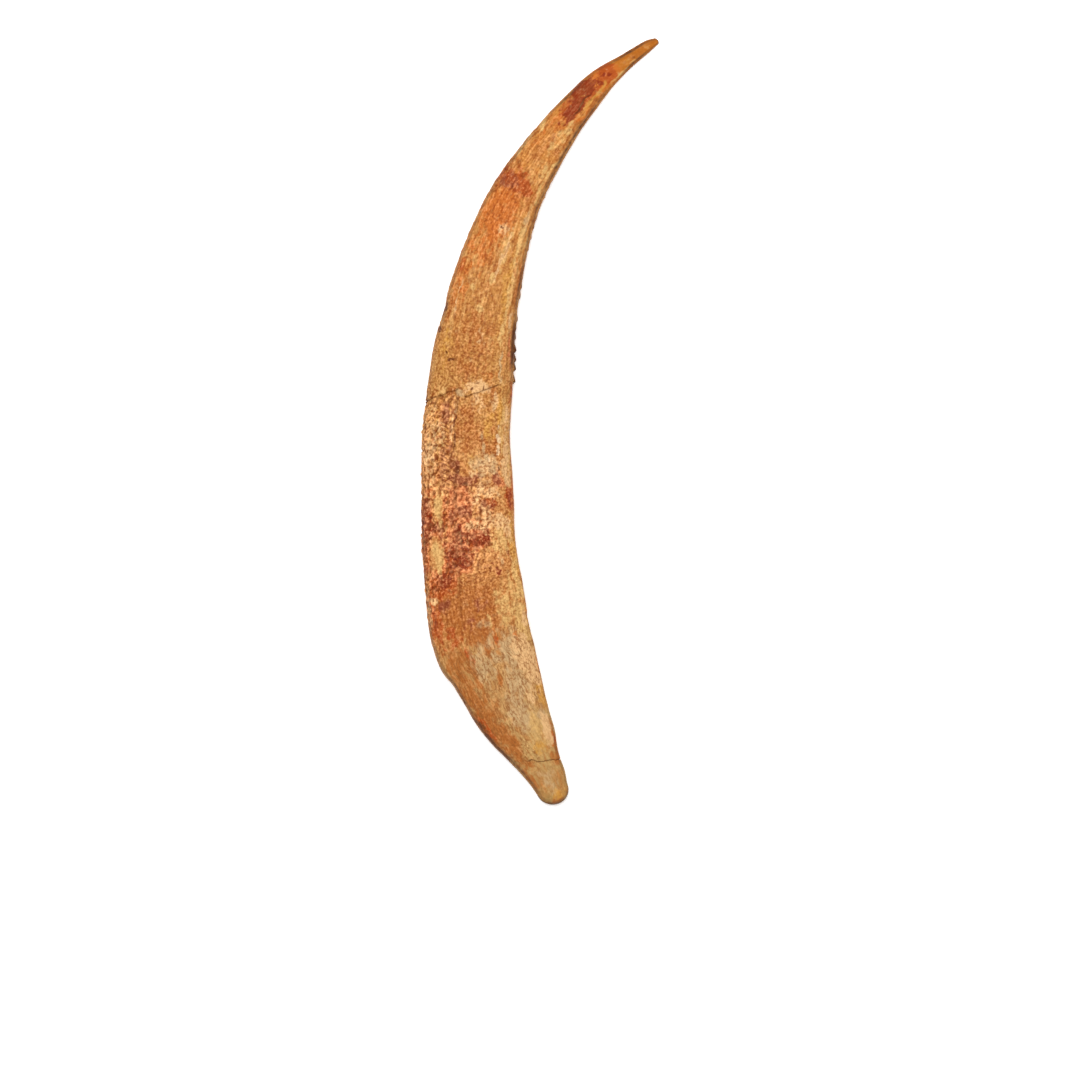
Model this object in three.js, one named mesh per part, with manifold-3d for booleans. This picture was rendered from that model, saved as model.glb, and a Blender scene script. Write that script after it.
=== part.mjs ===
// Fossil dorsal fin spine of a hybodont shark, lying on its flank: one solid, in millimetres.
//
// Frame: +Z is up and the spine rests on z = 0. +Y runs from the root towards the tip. The leading, convex
// margin is on the -X side and the trailing, concave margin on the +X side. The origin is under the middle
// of the spine's box.
//
// The crown is the part that stood out of the fish. It has lengthwise ribs on both flanks, a rounded keel
// in front, and a bevelled trailing wall with two rows of small worn denticles hooked towards the root.
// The root, which sat in the flesh, is smooth, cut back obliquely in front and grooved behind. Two old
// breaks cross the spine, one in the crown and one near the root's end, and both are glued back together.

import * as THREE from "three";
import { mergeVertices } from "three/addons/utils/BufferGeometryUtils.js";
import Module from "manifold-3d";

// Matching points on the two margins, from the root's end to the tip: leading x, y, then trailing x, y.
const MARGINS = [
  [-0.3, -117.0, 9.3, -113.2],
  [-2.8, -113.4, 8.4, -108.8],
  [-6.1, -109.6, 6.6, -103.9],
  [-10.9, -104.7, 5.3, -96.8],
  [-15.5, -100.0, 3.6, -90.6],
  [-19.4, -94.9, 2.1, -84.6],
  [-26.3, -83.1, -0.8, -71.7],
  [-29.7, -78.8, -1.6, -67.9],
  [-33.3, -68.2, -3.2, -61.2],
  [-35.2, -53.7, -5.0, -49.5],
  [-36.3, -37.8, -7.1, -35.9],
  [-36.4, -20.7, -7.9, -20.0],
  [-36.2, -3.4, -8.8, -4.3],
  [-34.2, 12.3, -8.0, 9.9],
  [-31.8, 26.6, -7.4, 23.5],
  [-29.4, 34.2, -6.8, 30.3],
  [-27.4, 42.7, -6.0, 37.7],
  [-15.1, 72.0, -0.1, 64.8],
  [2.5, 95.3, 11.9, 88.6],
  [10.6, 103.5, 17.6, 97.0],
  [17.5, 109.8, 22.6, 103.4],
  [24.3, 113.7, 27.8, 109.0],
  [33.8, 119.2, 36.1, 116.4],
  [36.2, 119.9, 37.6, 117.7],
];
const ROOT_DOME = 4.9; // how far the rounded end reaches past the first margin points
const TIP_DOME = 0.7; // how far the rounded tip reaches past the last ones

// Thickness follows width, so that the slender ends are rounder in section than the broad middle.
const THICKNESS_FACTOR = 1.03;
const THICKNESS_POWER = 0.8;

// Half a cross-section, from the keel round one flank to the middle of the trailing wall: across in half
// widths, then out from the mid-plane in half thicknesses. The shoulder is where the trailing wall begins.
const CROWN_SECTION = [
  [-1, 0],
  [-0.89, 0.47],
  [-0.6, 0.77],
  [-0.26, 0.95],
  [0.1, 1],
  [0.44, 0.96],
  [0.74, 0.8],
  [0.96, 0.42],
  [1, 0],
];
const ROOT_SECTION = [
  [-1, 0],
  [-0.92, 0.4],
  [-0.64, 0.72],
  [-0.3, 0.93],
  [0.06, 1],
  [0.42, 0.94],
  [0.77, 0.74],
  [1, 0.38],
  [0.8, 0],
];
const HALF_STEPS = 24; // points on half a section, three to each span of the outlines above
const SHOULDER_STEP = 18;
const FIRST_RIB_STEP = 2;
const RIB_SPACING_STEPS = 2;
const RING_SPACING = 3.1;
const DOME_RINGS = 3;

// Distances along the mid-line, from the root's first margin points.
const ENAMEL_EDGE_LEADING = 48; // the crown's ornament ends here on the leading margin
const ENAMEL_EDGE_TRAILING = 59; // and here on the trailing margin
const ENAMEL_FADE = 5;
const BARE_TIP_START = 236; // the tip has lost its ornament
const GROOVE_END = 92; // the root's groove has closed up by here
const GROOVE_FADE = 36;

// The relief, out of the smooth surface. Each rib is a row of uneven beads.
const RIB_HEIGHT = 0.16;
const RIB_FULL_WIDTH = 18; // the ribs get lower where the spine is narrower than this
const BEAD_HEIGHT = 0.32;
const BEAD_LENGTH = 3.7;
const ORNAMENT_STEP = 0.25; // how far the ornament stands above the bare root and the bare tip
const SHOULDER_HEIGHT = 0.28;
const LUMP_HEIGHT = 0.2;
const LUMP_SIZE = 8;

// Below the break in the crown the front of each flank is coarser than the back, with a seam between them.
const COARSE_BAND = {
  start: 62,
  end: 126,
  fade: 6,
  edge: 0.375, // of the way round the flank
  roughness: 1.7,
  seamDepth: 0.3,
  seamWidth: 0.035,
};

// The glued breaks: the place along the mid-line, the slope along the spine for each half width across it,
// a jog part of the way across, the depth and half width of the seam, and how far along the spine it pulls.
const BREAKS = [
  { at: 130, slope: 6, jog: -3.4, jogAt: -0.17, depth: 0.5, halfWidth: 0.4, reach: 13 },
  { at: 10.2, slope: -2, jog: -0.9, jogAt: -0.07, depth: 0.4, halfWidth: 0.4, reach: 5 },
];

// How the spine lies: the middle is set down into the plane by this much and cut flat there, as worn, and
// the two ends stand clear of it.
const SEAT_DEPTH = 0.12;
const ROOT_LIFT = 0.9;
const ROOT_LIFT_LENGTH = 34;
const TIP_LIFT = 0.5;
const TIP_LIFT_LENGTH = 26;

const DENTICLES = {
  first: 135,
  last: 203,
  spacing: 3.4,
  firstHeight: 1.5,
  lastHeight: 0.6,
  rowOffset: 0.2, // each row's distance from the middle of the trailing wall, in half thicknesses
  lean: 0.7, // radians towards the root
  sides: 6,
  sunk: 0.6,
};

const SPINE_COLOUR = 0xc48a52;

const clamp01 = (x) => Math.min(1, Math.max(0, x));
const smooth = (a, b, x) => THREE.MathUtils.smoothstep(x, a, b);
const lerp = THREE.MathUtils.lerp;

const curveThrough = (points) => new THREE.CatmullRomCurve3(points, false, "centripetal");
const leadingCurve = curveThrough(MARGINS.map(([x, y]) => new THREE.Vector3(x, y, 0)));
const trailingCurve = curveThrough(MARGINS.map(([, , x, y]) => new THREE.Vector3(x, y, 0)));
const crownOutline = curveThrough(CROWN_SECTION.map(([u, h]) => new THREE.Vector3(u, h, 0)));
const rootOutline = curveThrough(ROOT_SECTION.map(([u, h]) => new THREE.Vector3(u, h, 0)));

// The mid-line's length at evenly spaced curve parameters, to turn a distance into a parameter.
const MIDLINE_SAMPLES = 600;
const midAt = (t) => leadingCurve.getPoint(t).add(trailingCurve.getPoint(t)).multiplyScalar(0.5);
const midlineLengths = [0];
for (let i = 1; i <= MIDLINE_SAMPLES; i++) {
  const step = midAt(i / MIDLINE_SAMPLES).distanceTo(midAt((i - 1) / MIDLINE_SAMPLES));
  midlineLengths.push(midlineLengths[i - 1] + step);
}
const SPINE_LENGTH = midlineLengths[MIDLINE_SAMPLES];

function parameterAt(distance) {
  const d = Math.min(SPINE_LENGTH, Math.max(0, distance));
  const above = Math.max(1, midlineLengths.findIndex((length) => length >= d));
  const [low, high] = [midlineLengths[above - 1], midlineLengths[above]];
  return (above - 1 + (d - low) / (high - low)) / MIDLINE_SAMPLES;
}

// Smooth random heights from -1 to 1 on a unit grid, the same on every run.
function cornerValue(i, j, k) {
  let h = Math.imul(i, 374761393) ^ Math.imul(j, 668265263) ^ Math.imul(k, 2147483647);
  h = Math.imul(h ^ (h >>> 13), 1274126177);
  return ((h ^ (h >>> 16)) >>> 0) / 2147483648 - 1;
}

function lumps(x, y, layer) {
  const [i, j] = [Math.floor(x), Math.floor(y)];
  const [fx, fy] = [smooth(0, 1, x - i), smooth(0, 1, y - j)];
  const near = lerp(cornerValue(i, j, layer), cornerValue(i + 1, j, layer), fx);
  const far = lerp(cornerValue(i, j + 1, layer), cornerValue(i + 1, j + 1, layer), fx);
  return lerp(near, far, fy);
}

// 1 on the crown and 0 on the root, with an edge that leans from one margin to the other.
function enamel(distance, around) {
  const edge = lerp(ENAMEL_EDGE_LEADING, ENAMEL_EDGE_TRAILING, around);
  return smooth(edge - ENAMEL_FADE / 2, edge + ENAMEL_FADE / 2, distance);
}

function breakDepth(distance) {
  const depths = BREAKS.map(({ at, depth, halfWidth }) => {
    return depth * clamp01(1 - Math.abs(distance - at) / halfWidth);
  });
  return Math.max(...depths);
}

// How far the surface stands out of the smooth spine. around runs from 0 at the keel to 1 at the middle of
// the trailing wall, and flank is 1 on the upper flank and -1 on the lower one.
function relief(distance, around, flank, width) {
  const bareTip = smooth(BARE_TIP_START - 4, BARE_TIP_START + 2, distance);
  const ornament = enamel(distance, around) * (1 - bareTip);
  const step = around * HALF_STEPS;
  const rib = (step - FIRST_RIB_STEP) / RIB_SPACING_STEPS;
  const crest = 0.5 + 0.5 * Math.cos(2 * Math.PI * rib);
  const behindKeel = smooth(0.5, FIRST_RIB_STEP, step);
  const onFlank = behindKeel * (1 - smooth(SHOULDER_STEP - 3, SHOULDER_STEP - 1, step));
  const { start, end, edge, roughness, seamDepth, seamWidth, fade } = COARSE_BAND;
  const nearBand = smooth(start - fade, start, distance) * (1 - smooth(end, end + fade, distance));
  const coarse = nearBand * (around < edge ? roughness - 1 : 0) + 1;
  const seam = nearBand * seamDepth * clamp01(1 - Math.abs(around - edge) / seamWidth);
  const beads = lumps(distance / BEAD_LENGTH, flank * (rib + 1), 1);
  const ribs = onFlank * coarse * (RIB_HEIGHT * (crest - 0.5) + BEAD_HEIGHT * beads);
  const shoulder = SHOULDER_HEIGHT * clamp01(1 - Math.abs(step - SHOULDER_STEP));
  const lumpy = LUMP_HEIGHT * lumps(distance / LUMP_SIZE, (flank * step) / 3.2, 2);
  const slender = clamp01(width / RIB_FULL_WIDTH);
  const ornamentStep = ORNAMENT_STEP * (ornament - 0.5);
  return slender * (ornament * (ribs + shoulder) + lumpy) + ornamentStep - seam - breakDepth(distance);
}

function sectionPoint(distance, around) {
  const groove = 1 - smooth(GROOVE_END - GROOVE_FADE, GROOVE_END, distance);
  return crownOutline.getPoint(around).lerp(rootOutline.getPoint(around), groove);
}

// Where the mid-plane lies above the plane that the spine rests on.
function midHeight(distance, thickness) {
  const rootLift = ROOT_LIFT * (1 - smooth(0, ROOT_LIFT_LENGTH, distance));
  const tipLift = TIP_LIFT * smooth(SPINE_LENGTH - TIP_LIFT_LENGTH, SPINE_LENGTH, distance);
  return thickness / 2 - SEAT_DEPTH + rootLift + tipLift;
}

// The frame of the section at a distance: its middle, the half-width vector to the trailing margin, and the
// half thickness.
function frameAt(distance) {
  const t = parameterAt(distance);
  const [lead, trail] = [leadingCurve.getPoint(t), trailingCurve.getPoint(t)];
  const width = lead.distanceTo(trail);
  const thickness = THICKNESS_FACTOR * width ** THICKNESS_POWER;
  const middle = lead.clone().add(trail).multiplyScalar(0.5);
  middle.z = midHeight(distance, thickness);
  return { middle, half: trail.clone().sub(lead).multiplyScalar(0.5), halfThickness: thickness / 2 };
}

// A break leans across the spine, so the rings near it lean with it.
function leaningDistance(distance, across) {
  return BREAKS.reduce((d, { at, slope, jog, jogAt, reach }) => {
    const shift = slope * across + jog * (smooth(jogAt - 0.1, jogAt + 0.1, across) - 0.5);
    return d + shift * Math.exp(-(((distance - at) / reach) ** 2));
  }, distance);
}

function surfacePoint(ringDistance, around, flank) {
  const across = sectionPoint(ringDistance, around).x;
  const distance = leaningDistance(ringDistance, across);
  const { middle, half, halfThickness } = frameAt(distance);
  const onSection = (a) => {
    const { x, y } = sectionPoint(distance, clamp01(a));
    return new THREE.Vector2(x * half.length(), y * halfThickness);
  };
  const [before, here, after] = [onSection(around - 0.01), onSection(around), onSection(around + 0.01)];
  const along = after.sub(before).normalize();
  // At the keel and the middle of the trailing wall the surface faces straight out along the section.
  const out = new THREE.Vector2(-along.y, along.x);
  if (around === 0) out.set(-1, 0);
  if (around === 1) out.set(1, 0);
  here.addScaledVector(out, relief(ringDistance, around, flank, 2 * half.length()));
  const point = middle.clone().addScaledVector(half.clone().normalize(), here.x);
  point.z += flank * here.y;
  return point;
}

// One closed ring: up the upper flank from the keel, then back along the lower flank.
function ring(distance) {
  const points = [];
  for (let j = 0; j <= HALF_STEPS; j++) points.push(surfacePoint(distance, j / HALF_STEPS, 1));
  for (let j = HALF_STEPS - 1; j > 0; j--) points.push(surfacePoint(distance, j / HALF_STEPS, -1));
  return points;
}

// Rings that shrink onto an end point in an arc, which rounds off the end of the loft.
function dome(endRing, direction, reach) {
  const centre = endRing.reduce((sum, p) => sum.add(p), new THREE.Vector3()).divideScalar(endRing.length);
  const rings = [];
  for (let i = 1; i <= DOME_RINGS; i++) {
    const angle = (i / (DOME_RINGS + 1)) * (Math.PI / 2);
    rings.push(
      endRing.map((p) => {
        const shrunk = p.clone().sub(centre).multiplyScalar(Math.cos(angle)).add(centre);
        return shrunk.addScaledVector(direction, reach * Math.sin(angle));
      }),
    );
  }
  return { rings, pole: centre.clone().addScaledVector(direction, reach) };
}

// The ring places: evenly spaced, with three close together at each break to form its seam.
function ringDistances() {
  const count = Math.round(SPINE_LENGTH / RING_SPACING);
  const even = Array.from({ length: count + 1 }, (_, i) => (i / count) * SPINE_LENGTH);
  const clear = even.filter((d) => BREAKS.every(({ at, halfWidth }) => Math.abs(d - at) > 2.2 * halfWidth));
  const seams = BREAKS.flatMap(({ at, halfWidth }) => [at - halfWidth, at, at + halfWidth]);
  return [...clear, ...seams].sort((a, b) => a - b);
}

function loftGeometry() {
  const rings = ringDistances().map(ring);
  const rootDirection = midAt(0).sub(midAt(0.01)).normalize();
  const tipDirection = midAt(1).sub(midAt(0.99)).normalize();
  const root = dome(rings[0], rootDirection, ROOT_DOME);
  const tip = dome(rings.at(-1), tipDirection, TIP_DOME);
  const all = [...root.rings.reverse(), ...rings, ...tip.rings];

  const size = all[0].length;
  const vertices = all.flat();
  // The underside is cut flat where it would reach below the plane.
  for (const v of vertices) v.z = Math.max(0, v.z);
  const faces = [];
  for (let i = 0; i + 1 < all.length; i++) {
    for (let j = 0; j < size; j++) {
      const next = (j + 1) % size;
      const [a, b] = [i * size + j, i * size + next];
      const [c, d] = [a + size, b + size];
      faces.push(a, b, c, b, d, c);
    }
  }
  const rootPole = vertices.push(root.pole) - 1;
  const tipPole = vertices.push(tip.pole) - 1;
  const lastRing = (all.length - 1) * size;
  for (let j = 0; j < size; j++) {
    const next = (j + 1) % size;
    faces.push(rootPole, next, j);
    faces.push(tipPole, lastRing + j, lastRing + next);
  }
  const geometry = new THREE.BufferGeometry().setFromPoints(vertices);
  return geometry.setIndex(faces);
}

// A small worn hook on the trailing wall: a short cone that leans towards the root.
function denticleGeometry(distance, row, height) {
  const { middle, half, halfThickness } = frameAt(distance);
  const across = half.clone().normalize();
  const towardsTip = new THREE.Vector3(-across.y, across.x, 0);
  const geometry = new THREE.ConeGeometry(height * 0.85, height + DENTICLES.sunk, DENTICLES.sides);
  const points = across.clone().multiplyScalar(Math.cos(DENTICLES.lean));
  points.addScaledVector(towardsTip, -Math.sin(DENTICLES.lean));
  geometry.applyQuaternion(new THREE.Quaternion().setFromUnitVectors(new THREE.Vector3(0, 1, 0), points));
  const wall = sectionAcrossAt(distance, DENTICLES.rowOffset) * half.length();
  const foot = middle.clone().addScaledVector(across, wall);
  foot.z += row * DENTICLES.rowOffset * halfThickness;
  foot.addScaledVector(points, height / 2 - DENTICLES.sunk / 2);
  return geometry.translate(foot.x, foot.y, foot.z);
}

// How far across the trailing wall lies where it is this high above the mid-plane, in half widths.
function sectionAcrossAt(distance, height) {
  for (let around = 1; around > 0; around -= 0.005) {
    const { x, y } = sectionPoint(distance, around);
    if (y >= height) return x;
  }
  return 0;
}

const wasm = await Module();
wasm.setup();

function solidOf(geometry) {
  const bare = geometry.clone();
  bare.deleteAttribute("normal");
  bare.deleteAttribute("uv");
  const merged = mergeVertices(bare, 1e-4);
  const vertProperties = merged.attributes.position.array;
  return new wasm.Manifold(
    new wasm.Mesh({ numProp: 3, vertProperties, triVerts: new Uint32Array(merged.index.array) }),
  );
}

function geometryOf(solid) {
  const { vertProperties, triVerts } = solid.getMesh();
  const geometry = new THREE.BufferGeometry();
  geometry.setAttribute("position", new THREE.BufferAttribute(new Float32Array(vertProperties), 3));
  geometry.setIndex(new THREE.BufferAttribute(new Uint32Array(triVerts), 1));
  geometry.computeVertexNormals();
  return geometry;
}

let spine = solidOf(loftGeometry());
const denticleCount = Math.floor((DENTICLES.last - DENTICLES.first) / DENTICLES.spacing);
for (let i = 0; i <= denticleCount; i++) {
  const distance = DENTICLES.first + i * DENTICLES.spacing;
  const height = lerp(DENTICLES.firstHeight, DENTICLES.lastHeight, i / denticleCount);
  const row = i % 2 ? 1 : -1;
  spine = spine.add(solidOf(denticleGeometry(distance, row, height)));
}

const material = new THREE.MeshStandardMaterial({ color: SPINE_COLOUR, roughness: 0.62, metalness: 0 });
const finSpine = new THREE.Mesh(geometryOf(spine), material);
finSpine.name = "fin_spine";

// The origin goes under the middle of the spine's box.
finSpine.geometry.computeBoundingBox();
const boxMiddle = finSpine.geometry.boundingBox.getCenter(new THREE.Vector3());
finSpine.geometry.translate(-boxMiddle.x, -boxMiddle.y, 0);

const group = new THREE.Group();
group.add(finSpine);

export default group;
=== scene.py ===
"""Looks of the fossil shark fin spine: a finely sculpted piece over the CAD spine, its material, a studio.

The piece is lofted from the same outline, sections and breaks as the CAD spine, in millimetres, and is then
turned into metres. Every point of it knows how far it lies along the spine, how far across it and how high
above its mid-plane, so that the ornament, the stains and the grain all follow the spine's curve.
"""

import math
import random

import bpy
import numpy as np
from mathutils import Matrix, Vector, noise


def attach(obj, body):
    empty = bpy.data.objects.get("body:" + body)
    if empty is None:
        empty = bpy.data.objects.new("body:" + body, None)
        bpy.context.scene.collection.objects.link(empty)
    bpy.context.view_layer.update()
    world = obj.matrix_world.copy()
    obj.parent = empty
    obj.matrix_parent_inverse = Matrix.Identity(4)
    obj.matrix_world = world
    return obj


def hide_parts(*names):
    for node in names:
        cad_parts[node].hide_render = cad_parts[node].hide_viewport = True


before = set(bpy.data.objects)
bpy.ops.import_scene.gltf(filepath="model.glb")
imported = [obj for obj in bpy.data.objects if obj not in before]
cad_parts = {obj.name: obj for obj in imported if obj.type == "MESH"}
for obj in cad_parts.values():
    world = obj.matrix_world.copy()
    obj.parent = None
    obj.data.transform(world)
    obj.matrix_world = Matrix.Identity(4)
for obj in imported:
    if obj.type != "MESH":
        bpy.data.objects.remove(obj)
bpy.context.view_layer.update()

MM = 0.001

# ---------------------------------------------------------------- the spine's shape, in millimetres

# Matching points on the two margins, from the root's end to the tip: leading x, y, then trailing x, y.
MARGINS = np.array([
    [-0.3, -117.0, 9.3, -113.2],
    [-2.8, -113.4, 8.4, -108.8],
    [-6.1, -109.6, 6.6, -103.9],
    [-10.9, -104.7, 5.3, -96.8],
    [-15.5, -100.0, 3.6, -90.6],
    [-19.4, -94.9, 2.1, -84.6],
    [-26.3, -83.1, -0.8, -71.7],
    [-29.7, -78.8, -1.6, -67.9],
    [-33.3, -68.2, -3.2, -61.2],
    [-35.2, -53.7, -5.0, -49.5],
    [-36.3, -37.8, -7.1, -35.9],
    [-36.4, -20.7, -7.9, -20.0],
    [-36.2, -3.4, -8.8, -4.3],
    [-34.2, 12.3, -8.0, 9.9],
    [-31.8, 26.6, -7.4, 23.5],
    [-29.4, 34.2, -6.8, 30.3],
    [-27.4, 42.7, -6.0, 37.7],
    [-15.1, 72.0, -0.1, 64.8],
    [2.5, 95.3, 11.9, 88.6],
    [10.6, 103.5, 17.6, 97.0],
    [17.5, 109.8, 22.6, 103.4],
    [24.3, 113.7, 27.8, 109.0],
    [33.8, 119.2, 36.1, 116.4],
    [36.2, 119.9, 37.6, 117.7],
])
BOX_MIDDLE = (0.66, -0.04)  # the origin is under this point of the outline
ROOT_DOME = 4.9
TIP_DOME = 0.7
THICKNESS_FACTOR = 1.03
THICKNESS_POWER = 0.8

# Half a cross-section from the keel round one flank: across in half widths, out in half thicknesses.
CROWN_SECTION = np.array([
    [-1, 0], [-0.89, 0.47], [-0.6, 0.77], [-0.26, 0.95], [0.1, 1],
    [0.44, 0.96], [0.74, 0.8], [0.96, 0.42], [1, 0],
])
ROOT_SECTION = np.array([
    [-1, 0], [-0.92, 0.4], [-0.64, 0.72], [-0.3, 0.93], [0.06, 1],
    [0.42, 0.94], [0.77, 0.74], [1, 0.38], [0.8, 0],
])
# Where the trailing wall begins: distance along the spine, and the share of the way round a flank.
SHOULDER_LINE = np.array([
    [57, 0.86], [76, 0.82], [89, 0.84], [102, 0.775], [112, 0.735], [127, 0.75],
    [142, 0.765], [163, 0.755], [184, 0.74], [202, 0.76], [236, 0.79],
])

ENAMEL_EDGE_LEADING = 48
ENAMEL_EDGE_TRAILING = 59
ENAMEL_EDGE_FADE = 2.5
BARE_TIP_START = 236
BARE_TIP_FADE = 3
GROOVE_END = 92
GROOVE_FADE = 36

# The glued breaks: place along the spine, slope per half width, jog and its place across, the seam's half
# width, and how far along the spine the rings lean with the break.
CROWN_BREAK = dict(at=130, slope=6, jog=-3.4, jog_at=-0.17, half_width=0.26, reach=13)
ROOT_BREAK = dict(at=10.2, slope=-2, jog=-0.9, jog_at=-0.07, half_width=0.22, reach=5)
BREAKS = (CROWN_BREAK, ROOT_BREAK)
BREAK_DEPTH = 0.4
BREAK_WOBBLE = 0.35
JOG_FADE = 0.1  # half of what a jog takes up across, in half widths
HEALED_FROM = -0.24  # the crown's break can't be seen between these places across
HEALED_TO = -0.14
CROWN_BREAK_FADES = 0.68  # nor behind this one
ROOT_BREAK_FADES = -0.42  # nor the root's in front of this one
BREAK_FADE = 0.06  # half of what the fading takes up across, in half widths
HEALED_FADE = 0.04

# Dirt and painted shade along the margins: distance along the spine, how dark, and how far in it reaches in
# mm.
LEADING_DIRT_AND_SHADE = np.array([
    [0, 0.7, 1.8], [14, 0.9, 2.2], [30, 0.8, 1.6], [48, 0.65, 1.3], [57, 0.5, 1.2], [66, 0.45, 1.7],
    [84, 0.55, 1.5], [104, 0.2, 1.0], [144, 0.2, 1.0], [152, 0.5, 1.6], [162, 0.3, 1.6], [176, 0.35, 1.6],
    [196, 0.4, 1.4], [206, 0.6, 1.5], [212, 0.45, 1.2], [219, 0.3, 1.1], [226, 1.1, 1.6], [234, 0.5, 1.4],
    [243, 0.6, 1.5], [250, 1.3, 1.7], [258, 0.7, 1.2],
])
TRAILING_DIRT_AND_SHADE = np.array([
    [0, 0.5, 1.0], [14, 0.75, 1.3], [30, 0.1, 0.8], [126, 0.1, 0.8], [136, 0.6, 1.2], [142, 1.2, 1.5],
    [149, 1.1, 1.4], [156, 0.75, 1.2], [165, 1.15, 1.3], [176, 0.85, 1.2], [186, 0.65, 1.6], [212, 0.9, 2.0],
    [224, 1.15, 1.7], [231, 0.7, 1.3], [238, 0.7, 1.1], [243, 0.7, 1.0], [249, 1.3, 1.5], [258, 0.6, 0.9],
])

SEAT_DEPTH = 0.12
ROOT_LIFT = 0.9
ROOT_LIFT_LENGTH = 34
TIP_LIFT = 0.5
TIP_LIFT_LENGTH = 26

RING_SPACING = 0.425
FLANK_STEPS = 76
DOME_RINGS = 9

# The relief. Ribs run along the flanks between the keel and the shoulder.
RIBS = 18  # spaces of one rib between the keel and the shoulder
RIB_HEIGHT = 0.13
ORNAMENT_STEP = 0.25
SHOULDER_HEIGHT = 0.28
COARSE_START = 60
COARSE_END = 127
COARSE_EDGE = 0.375  # the coarse band's back edge, as a share of the way round a flank
SEAM_DEPTH = 0.3
# Places worn smooth: distance along the spine, place across it, half length and half breadth.
SMOOTH_PATCHES = [(79, -0.68, 5.8, 2.4), (93.5, -0.62, 5.5, 1.4), (131.2, 0.27, 2.6, 3.4)]
FULL_RELIEF_HALF_WIDTH = 9  # where the spine is narrower than this, its ornament is lower

# How far the relief stands out or goes in, in mm.
SWELL = 0.12
BROAD_SWELL = 0.16
COARSE_NODULE_HEIGHT = 0.3
COARSE_PIT_DEPTH = 0.38
FINE_NODULE_HEIGHT = 0.1
FINE_PIT_DEPTH = 0.13
NODULE_MEAN = 0.4  # the level between a nodule's top and foot that stays where it is
SEAM_RIDGE_HEIGHT = 0.22
ROOT_STREAK_HEIGHT = 0.05
ROOT_PIT_DEPTH = 0.15
TIP_STREAK_HEIGHT = 0.03

# Stretches of the spine: where a change begins and where it is complete or, for what comes and goes, where it
# begins, is full, starts to fade and ends.
ROOT_END_WEAR_FADES = (6, 14)
ROOT_WEAR_FADES = (18, 32)
LOW_FIBRES_FADE = (60, 74)
RIBS_RISE = (64, 80)
BAND_WIDENS = (64, 82)
GRANULAR_STRETCH = (68, 76, 99, 104)
LADDER_RISE = (97, 100)
LADDER_FADES = (109, 114)
SEAM_RIDGE_STRETCH = (108, 112, 126, 129)
PALE_LINES_RISE = (125, 155)
FIBRES_RISE = (125, 170)
SHOULDER_LINES_RISE = (130, 140)
STAINED_HOOKS_STRETCH = (137, 143, 149, 156)
PALE_LINES_FADE = (196, 206)
WORN_TIP_RISE = (214, 226)

DENTICLE_FIRST = 135
DENTICLE_LAST = 203
DENTICLE_SPACING = 3.4
DENTICLE_FIRST_HEIGHT = 1.5
DENTICLE_LAST_HEIGHT = 0.6
DENTICLE_ROW_OFFSET = 0.2  # each row's distance from the mid-plane, in half thicknesses
DENTICLE_LEAN = 0.7  # radians towards the root
BEST_KEPT_DENTICLES = 4  # the others are worn down


def smooth(a, b, x):
    """0 up to a, 1 from b on, and smooth between them."""
    t = np.clip((x - a) / (b - a), 0, 1)
    return t * t * (3 - 2 * t)


def step_at(place, half_length, x):
    """0 before the place and 1 after it, smooth over half_length on either side."""
    return smooth(place - half_length, place + half_length, x)


def between(begin, full, fade, end, x):
    """0 up to begin, 1 from full to fade, and 0 again from end on."""
    return smooth(begin, full, x) * (1 - smooth(fade, end, x))


def peak(x, half_width):
    """1 at x = 0, falling straight to 0 at half_width on each side."""
    return np.clip(1 - np.abs(x) / half_width, 0, 1)


def curve_through(points, t):
    """The centripetal Catmull-Rom curve through the points, at t from 0 to 1 in equal parts per span."""
    p = np.vstack([2 * points[0] - points[1], points, 2 * points[-1] - points[-2]])
    t = np.asarray(t, float) * (len(points) - 1)
    span = np.clip(np.floor(t).astype(int), 0, len(points) - 2)
    w = (t - span)[..., None]
    a, b, c, d = (p[span + k] for k in range(4))
    ab, bc, cd = (np.sqrt(np.linalg.norm(v - u, axis=-1))[..., None] for u, v in ((a, b), (b, c), (c, d)))
    leave = ((b - a) / ab - (c - a) / (ab + bc) + (c - b) / bc) * bc
    arrive = ((c - b) / bc - (d - b) / (bc + cd) + (d - c) / cd) * bc
    return b + leave * w + (3 * (c - b) - 2 * leave - arrive) * w**2 + (2 * (b - c) + leave + arrive) * w**3


MIDLINE_T = np.linspace(0, 1, 1201)
midline = curve_through(MARGINS[:, :2], MIDLINE_T) / 2 + curve_through(MARGINS[:, 2:], MIDLINE_T) / 2
midline_length = np.concatenate([[0], np.cumsum(np.linalg.norm(np.diff(midline, axis=0), axis=1))])
SPINE_LENGTH = midline_length[-1]


def frame_at(distance):
    """The section's middle, the unit vector to the trailing margin, the half width and half thickness."""
    t = np.interp(distance, midline_length, MIDLINE_T)
    lead = curve_through(MARGINS[:, :2], t)
    trail = curve_through(MARGINS[:, 2:], t)
    width = np.linalg.norm(trail - lead, axis=-1)
    half_thickness = THICKNESS_FACTOR * width**THICKNESS_POWER / 2
    return (lead + trail) / 2, (trail - lead) / width[..., None], width / 2, half_thickness


def section_at(distance, around):
    """The half section's points: the crown's, which turns into the root's with its groove."""
    groove = 1 - smooth(GROOVE_END - GROOVE_FADE, GROOVE_END, distance)[..., None]
    return curve_through(CROWN_SECTION, around) * (1 - groove) + curve_through(ROOT_SECTION, around) * groove


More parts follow.
